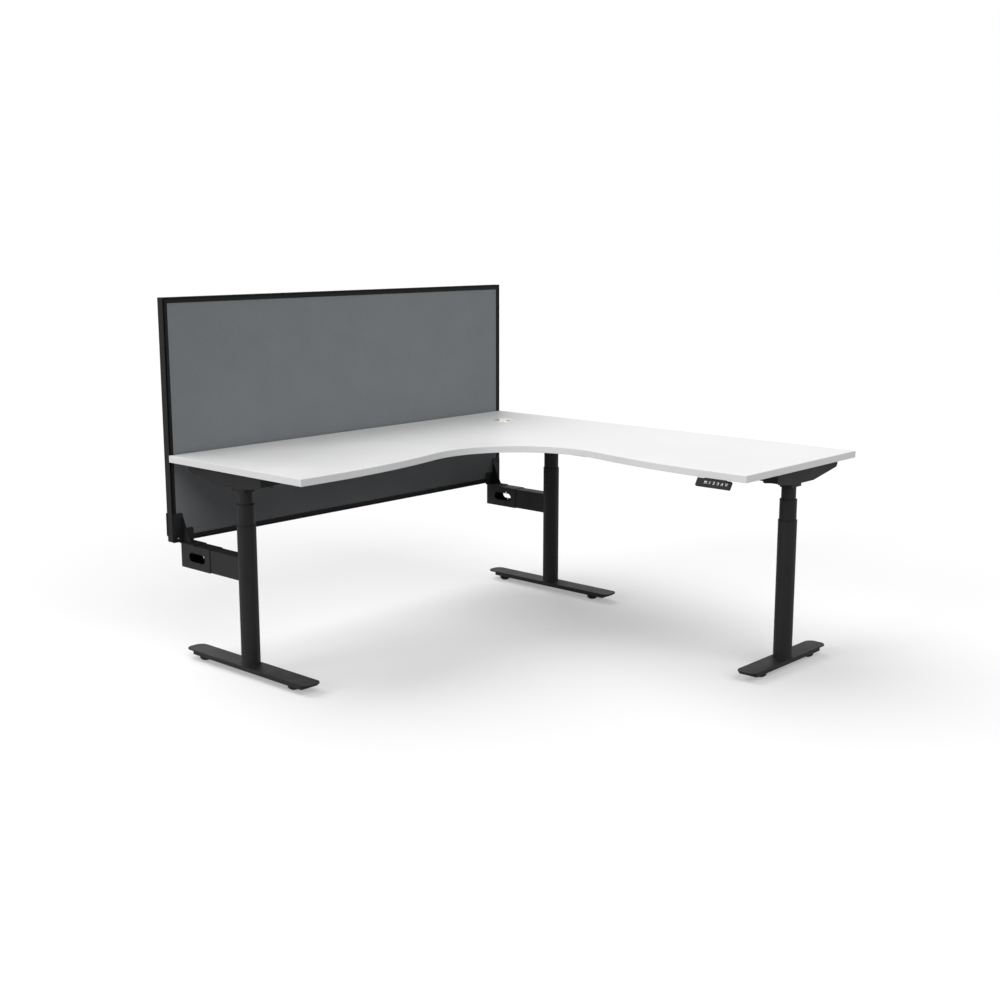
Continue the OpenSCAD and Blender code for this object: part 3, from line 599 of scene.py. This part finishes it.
def buildCloth(name, faceY, outward, node):
    width = cloth["right"] - cloth["left"]
    height = cloth["high"] - cloth["low"]
    middle = ((cloth["right"] + cloth["left"]) / 2, faceY, (cloth["high"] + cloth["low"]) / 2)
    bpy.ops.mesh.primitive_grid_add(
        x_subdivisions=cloth["columns"], y_subdivisions=cloth["rows"], size=1,
        location=middle, rotation=(radians(90), 0, 0))
    sheet = bpy.context.object
    sheet.scale = (width, height, 1)
    applyPlace(sheet)
    for point in sheet.data.vertices:
        # the cloth is drawn tight at its edges and stands a little proud in the middle
        across = (point.co.x - cloth["left"]) / width
        up = (point.co.z - cloth["low"]) / height
        inwards = min(across, 1 - across, up * height / width, (1 - up) * height / width)
        point.co.y += outward * cloth["swell"] * min(1, cloth["edgeRise"] * inwards)
    thick = sheet.modifiers.new("thickness", "SOLIDIFY")
    thick.thickness = cloth["thickness"]
    thick.offset = 0
    makeActive(sheet)
    bpy.ops.object.modifier_apply(modifier=thick.name)
    finishPiece(sheet, name, "base", "screen_cloth", (node,), cloth["smoothBelow"])


buildCloth("screenClothFront", cloth["frontFace"], -1, "fabric_front")
buildCloth("screenClothBack", cloth["backFace"], 1, "fabric_back")
print("cloth stretched on the screen")


# bolts through the brackets and the frame, with their nuts, and short ones into the sleeves

bolt = {"headRadius": 0.0055, "headHeight": 0.0033, "headSides": 40, "headRounding": 0.0016,
        "roundSteps": 4, "socket": 0.0023, "socketDepth": 0.0019, "shankRadius": 0.003,
        "shankSides": 32, "tipChamfer": 0.0005}
screenBolts = {"spots": ((-0.8865, 0.4765), (-0.8865, 0.5365), (0.8895, 0.4765), (0.8895, 0.5365)),
               "length": 0.042, "headFace": 0.8805, "nutFace": 0.9175}
screenNuts = {"radius": 0.00575, "height": 0.005, "hole": 0.0032, "rounding": 0.0005}
flangeScrews = {"spots": ((-0.8375, 0.8125), (-0.8375, 0.8525), (0.8345, 0.8125), (0.8345, 0.8525)),
                "length": 0.012, "top": 0.4405}
nutShape = {"steps": 2, "roundAbove": 30, "holeSides": 32}


def socketBolt(length):
    # button head with a hexagon socket, standing on z = 0 with its shank below
    head = bolt["headHeight"]
    bpy.ops.mesh.primitive_cylinder_add(
        vertices=bolt["headSides"], radius=bolt["headRadius"], depth=head,
        location=(0, 0, head / 2))
    piece = bpy.context.object
    applyPlace(piece)
    pickFacing(piece, upwards)
    bpy.ops.mesh.bevel(offset=bolt["headRounding"], segments=bolt["roundSteps"], affect="EDGES")
    bpy.ops.mesh.select_all(action="DESELECT")
    backToObject()
    bpy.ops.mesh.primitive_cylinder_add(
        vertices=6, radius=bolt["socket"], depth=2 * bolt["socketDepth"], location=(0, 0, head))
    cutWith(piece, bpy.context.object)
    bpy.ops.mesh.primitive_cylinder_add(
        vertices=bolt["shankSides"], radius=bolt["shankRadius"], depth=length,
        location=(0, 0, -length / 2))
    shank = bpy.context.object
    applyPlace(shank)
    pickFacing(shank, downwards)
    bpy.ops.mesh.bevel(offset=bolt["tipChamfer"], segments=1, affect="EDGES")
    backToObject()
    return joinAll([piece, shank])


def hexNut(size):
    # standing on z = 0
    height = size["height"]
    bpy.ops.mesh.primitive_cylinder_add(
        vertices=6, radius=size["radius"], depth=height, location=(0, 0, height / 2))
    piece = bpy.context.object
    applyPlace(piece)
    roundEdges(piece, size["rounding"], nutShape["steps"], nutShape["roundAbove"])
    bpy.ops.mesh.primitive_cylinder_add(
        vertices=nutShape["holeSides"], radius=size["hole"], depth=3 * height, location=(0, 0, 0))
    cutWith(piece, bpy.context.object)
    return piece


longBolt = socketBolt(screenBolts["length"])
shortBolt = socketBolt(flangeScrews["length"])
nut = hexNut(screenNuts)
for count, (x, z) in enumerate(screenBolts["spots"], start=1):
    stoodFor = ("bracket_bolts",) if count == 1 else ()  # the first replaces the whole row
    placeCopy(longBolt, "screenBolt%d" % count, "base", "black_zinc",
              (x, screenBolts["headFace"], z), frontwards, stoodFor)
    placeCopy(nut, "screenNut%d" % count, "base", "black_zinc",
              (x, screenBolts["nutFace"], z), backwards)
for count, (x, y) in enumerate(flangeScrews["spots"], start=1):
    placeCopy(shortBolt, "flangeScrew%d" % count, "base", "black_zinc",
              (x, y, flangeScrews["top"]), upwards)
removeAll(longBolt, shortBolt, nut)


# screws with a cross recess: support arms and control box under the worktop, heads down,
# the gear covers, and one through each bracket's low hole into the frame's bottom bar

crossHead = {"sides": 32, "roundSteps": 4, "roundShare": 0.55,
             "slotLengthShare": 1.1, "slotWidthShare": 0.22, "slotDepthShare": 0.9}
armScrews = {"radius": 0.0045, "height": 0.0026, "front": 0.140, "back": 0.284,
             "aside": 0.03325, "under": 0.742}
boxScrews = {"middleX": -0.1015, "y": 0.6875, "aside": 0.137, "under": 0.742}
gearScrews = {"radius": 0.0032, "height": 0.0018, "back": 0.041, "aside": 0.017, "under": 0.675}
barScrews = {"radius": 0.0037, "height": 0.0029, "barFace": 0.8835,
             "spots": ((-0.8715, 0.4545), (0.8745, 0.4545))}


def crossScrew(size):
    # pan head standing on z = 0
    radius, height = size["radius"], size["height"]
    bpy.ops.mesh.primitive_cylinder_add(
        vertices=crossHead["sides"], radius=radius, depth=height, location=(0, 0, height / 2))
    piece = bpy.context.object
    applyPlace(piece)
    pickFacing(piece, upwards)
    bpy.ops.mesh.bevel(offset=height * crossHead["roundShare"],
                       segments=crossHead["roundSteps"], affect="EDGES")
    backToObject()
    for turn in (0, pi / 2):
        bpy.ops.mesh.primitive_cube_add(size=1, location=(0, 0, height))
        bar = bpy.context.object
        bar.scale = (radius * crossHead["slotLengthShare"], radius * crossHead["slotWidthShare"],
                     height * crossHead["slotDepthShare"])
        bar.rotation_euler = (0, 0, turn)
        applyPlace(bar)
        cutWith(piece, bar)
    return piece


woodScrew = crossScrew(armScrews)
coverScrew = crossScrew(gearScrews)
barScrew = crossScrew(barScrews)
placed = 0
for column in columnAt:
    for back in (-armScrews["front"], armScrews["back"]):
        for aside in (-armScrews["aside"], armScrews["aside"]):
            placed += 1
            placeCopy(woodScrew, "armScrew%d" % placed, "desktop", "zinc_steel",
                      besideColumn(column, back, aside, armScrews["under"]), downwards)
for aside in (-boxScrews["aside"], boxScrews["aside"]):
    placed += 1
    placeCopy(woodScrew, "boxScrew%d" % placed, "desktop", "zinc_steel",
              (boxScrews["middleX"] + aside, boxScrews["y"], boxScrews["under"]), downwards)
for column in columnAt:
    for aside in (-gearScrews["aside"], gearScrews["aside"]):
        placed += 1
        placeCopy(coverScrew, "gearScrew%d" % placed, "desktop", "black_zinc",
                  besideColumn(column, gearScrews["back"], aside, gearScrews["under"]), downwards)
for count, (x, z) in enumerate(barScrews["spots"], start=1):
    placeCopy(barScrew, "barScrew%d" % count, "base", "zinc_steel",
              (x, barScrews["barFace"], z), frontwards)
removeAll(woodScrew, coverScrew, barScrew)
print("bolts, nuts and screws placed")


# control box: mains pins in the inlet, a row of plug sockets in the bay

boxFace = 0.6375
inlet = {"x": -0.1915, "z": 0.727, "depth": 0.014, "pinLength": 0.011, "pinWide": 0.004,
         "pinThick": 0.002, "tipInset": 0.0005, "tipOut": 0.0006,
         "pins": ((-0.007, -0.002), (0.007, -0.002), (0, 0.004))}
bay = {"x": -0.0815, "z": 0.727, "depth": 0.010, "count": 5, "pitch": 0.0148, "wide": 0.0132,
       "high": 0.0125, "deep": 0.008, "wall": 0.0014, "hollow": 0.006,
       "rounding": 0.0003, "steps": 2, "roundAbove": 40}


def buildInletPin(number, aside, up):
    backWall = boxFace + inlet["depth"]
    middle = (inlet["x"] + aside, backWall - inlet["pinLength"] / 2, inlet["z"] + up)
    bpy.ops.mesh.primitive_cube_add(size=1, location=middle)
    pin = bpy.context.object
    pin.scale = (inlet["pinThick"], inlet["pinLength"], inlet["pinWide"])
    applyPlace(pin)
    # the tip is chamfered to guide the plug
    pickFacing(pin, frontwards)
    bpy.ops.mesh.inset(thickness=inlet["tipInset"])
    bpy.ops.transform.translate(value=(0, -inlet["tipOut"], 0))
    backToObject()
    finishPiece(pin, "inletPin%d" % number, "desktop", "zinc_steel")


def buildPlugSocket():
    # a shell open at the front, standing on the bay's back wall
    bpy.ops.mesh.primitive_cube_add(size=1, location=(0, -bay["deep"] / 2, 0))
    shell = bpy.context.object
    shell.scale = (bay["wide"], bay["deep"], bay["high"])
    applyPlace(shell)
    pickFacing(shell, frontwards)
    bpy.ops.mesh.inset(thickness=bay["wall"])
    bpy.ops.mesh.extrude_region_move(TRANSFORM_OT_translate={"value": (0, bay["hollow"], 0)})
    backToObject()
    roundEdges(shell, bay["rounding"], bay["steps"], bay["roundAbove"])
    return shell


for number, (aside, up) in enumerate(inlet["pins"], start=1):
    buildInletPin(number, aside, up)
plugSocket = buildPlugSocket()
for number in range(bay["count"]):
    x = bay["x"] + (number - (bay["count"] - 1) / 2) * bay["pitch"]
    placeCopy(plugSocket, "plugSocket%d" % (number + 1), "desktop", "key_plastic",
              (x, boxFace + bay["depth"], bay["z"]), upwards)
removeAll(plugSocket)
print("control box sockets fitted")


# hexagon lock nuts on the glides' studs

glideNuts = {"radius": 0.0085, "height": 0.0045, "hole": 0.0052, "rounding": 0.0006, "low": 0.0163}
glideAt = {"glide_left_back": (-0.8375, 0.7885), "glide_left_front": (-0.8375, 0.2735),
           "glide_corner_back": (0.8345, 0.7885), "glide_corner_front": (0.8345, 0.2735),
           "glide_right_back": (0.717, -0.8585), "glide_right_front": (0.387, -0.8585)}
lockNut = hexNut(glideNuts)
for node, (x, y) in glideAt.items():
    placeCopy(lockNut, camel(node) + "Nut", bodyOf[node], "zinc_steel",
              (x, y, glideNuts["low"]), upwards)
removeAll(lockNut)
print("glide nuts placed")


# weld beads where the columns meet the feet

bead = {"columnRadius": 0.03425, "footTop": 0.040, "radius": 0.0022, "ripple": 0.0004,
        "ripples": 90, "segments": 180, "sides": 10, "smoothBelow": 80}


def weldRing(column):
    place = (*columnAt[column], bead["footTop"])
    bpy.ops.mesh.primitive_torus_add(
        major_segments=bead["segments"], minor_segments=bead["sides"],
        major_radius=bead["columnRadius"], minor_radius=bead["radius"], location=place)
    ring = bpy.context.object
    applyPlace(ring)
    middle = Vector(place)
    for point in ring.data.vertices:
        # the bead's crown rises and falls as the torch moved
        if point.co.z > middle.z:
            outwards = Vector((point.co.x - middle.x, point.co.y - middle.y, 0))
            turn = outwards.to_track_quat("X", "Z").to_euler().z
            point.co.z += bead["ripple"] * sin(turn * bead["ripples"])
    finishPiece(ring, camel("foot_" + column) + "Weld", "base", "black_powder_coat", (),
                bead["smoothBelow"])


for column in columnAt:
    weldRing(column)
print("weld beads laid")


# handset legends

handset = {"edge": (0.1465, -0.7965, 0.7446), "tilt": 33, "firstKey": -0.030, "pitch": 0.0168,
           "up": -0.015, "proud": 0.0004, "letterSize": 0.0150, "printThickness": 0.00012,
           "curveSteps": 6, "mergeWithin": 0.000001, "smoothBelow": 30}
tilt = radians(handset["tilt"])
# the handset's sloping face: along the row of keys, up the slope, and out of the face
handsetFrame = Matrix((
    (0, sin(tilt), -cos(tilt), handset["edge"][0]),
    (-1, 0, 0, handset["edge"][1]),
    (0, cos(tilt), sin(tilt), handset["edge"][2]),
    (0, 0, 0, 1)))
legends = (("key_memory", "M", 0), ("key_one", "1", 0), ("key_two", "2", 0), ("key_three", "3", 0),
           ("key_up", "V", pi), ("key_down", "V", 0))


def buildLegend(place, node, letter, turn):
    bpy.ops.object.text_add()
    text = bpy.context.object
    text.data.body = letter
    text.data.size = handset["letterSize"]
    text.data.extrude = handset["printThickness"] / 2
    text.data.resolution_u = handset["curveSteps"]
    makeActive(text)
    bpy.ops.object.convert(target="MESH")
    text = bpy.context.object
    acrossAll = [point.co.x for point in text.data.vertices]
    upAll = [point.co.y for point in text.data.vertices]
    centre = Vector(((min(acrossAll) + max(acrossAll)) / 2, (min(upAll) + max(upAll)) / 2, 0))
    onKey = Matrix.Translation((handset["firstKey"] + place * handset["pitch"], handset["up"],
                                handset["proud"] + handset["printThickness"] / 2))
    text.data.transform(handsetFrame @ onKey @ Matrix.Rotation(turn, 4, "Z")
                        @ Matrix.Translation(-centre))
    makeActive(text)
    bpy.ops.object.mode_set(mode="EDIT")
    bpy.ops.mesh.select_all(action="SELECT")
    bpy.ops.mesh.remove_doubles(threshold=handset["mergeWithin"])
    bpy.ops.mesh.normals_make_consistent(inside=False)
    backToObject()
    finishPiece(text, camel(node) + "Legend", bodyOf[node], "edge_plastic", (),
                handset["smoothBelow"], "legendPrint")


for place, (node, letter, turn) in enumerate(legends):
    buildLegend(place, node, letter, turn)
print("legends printed")
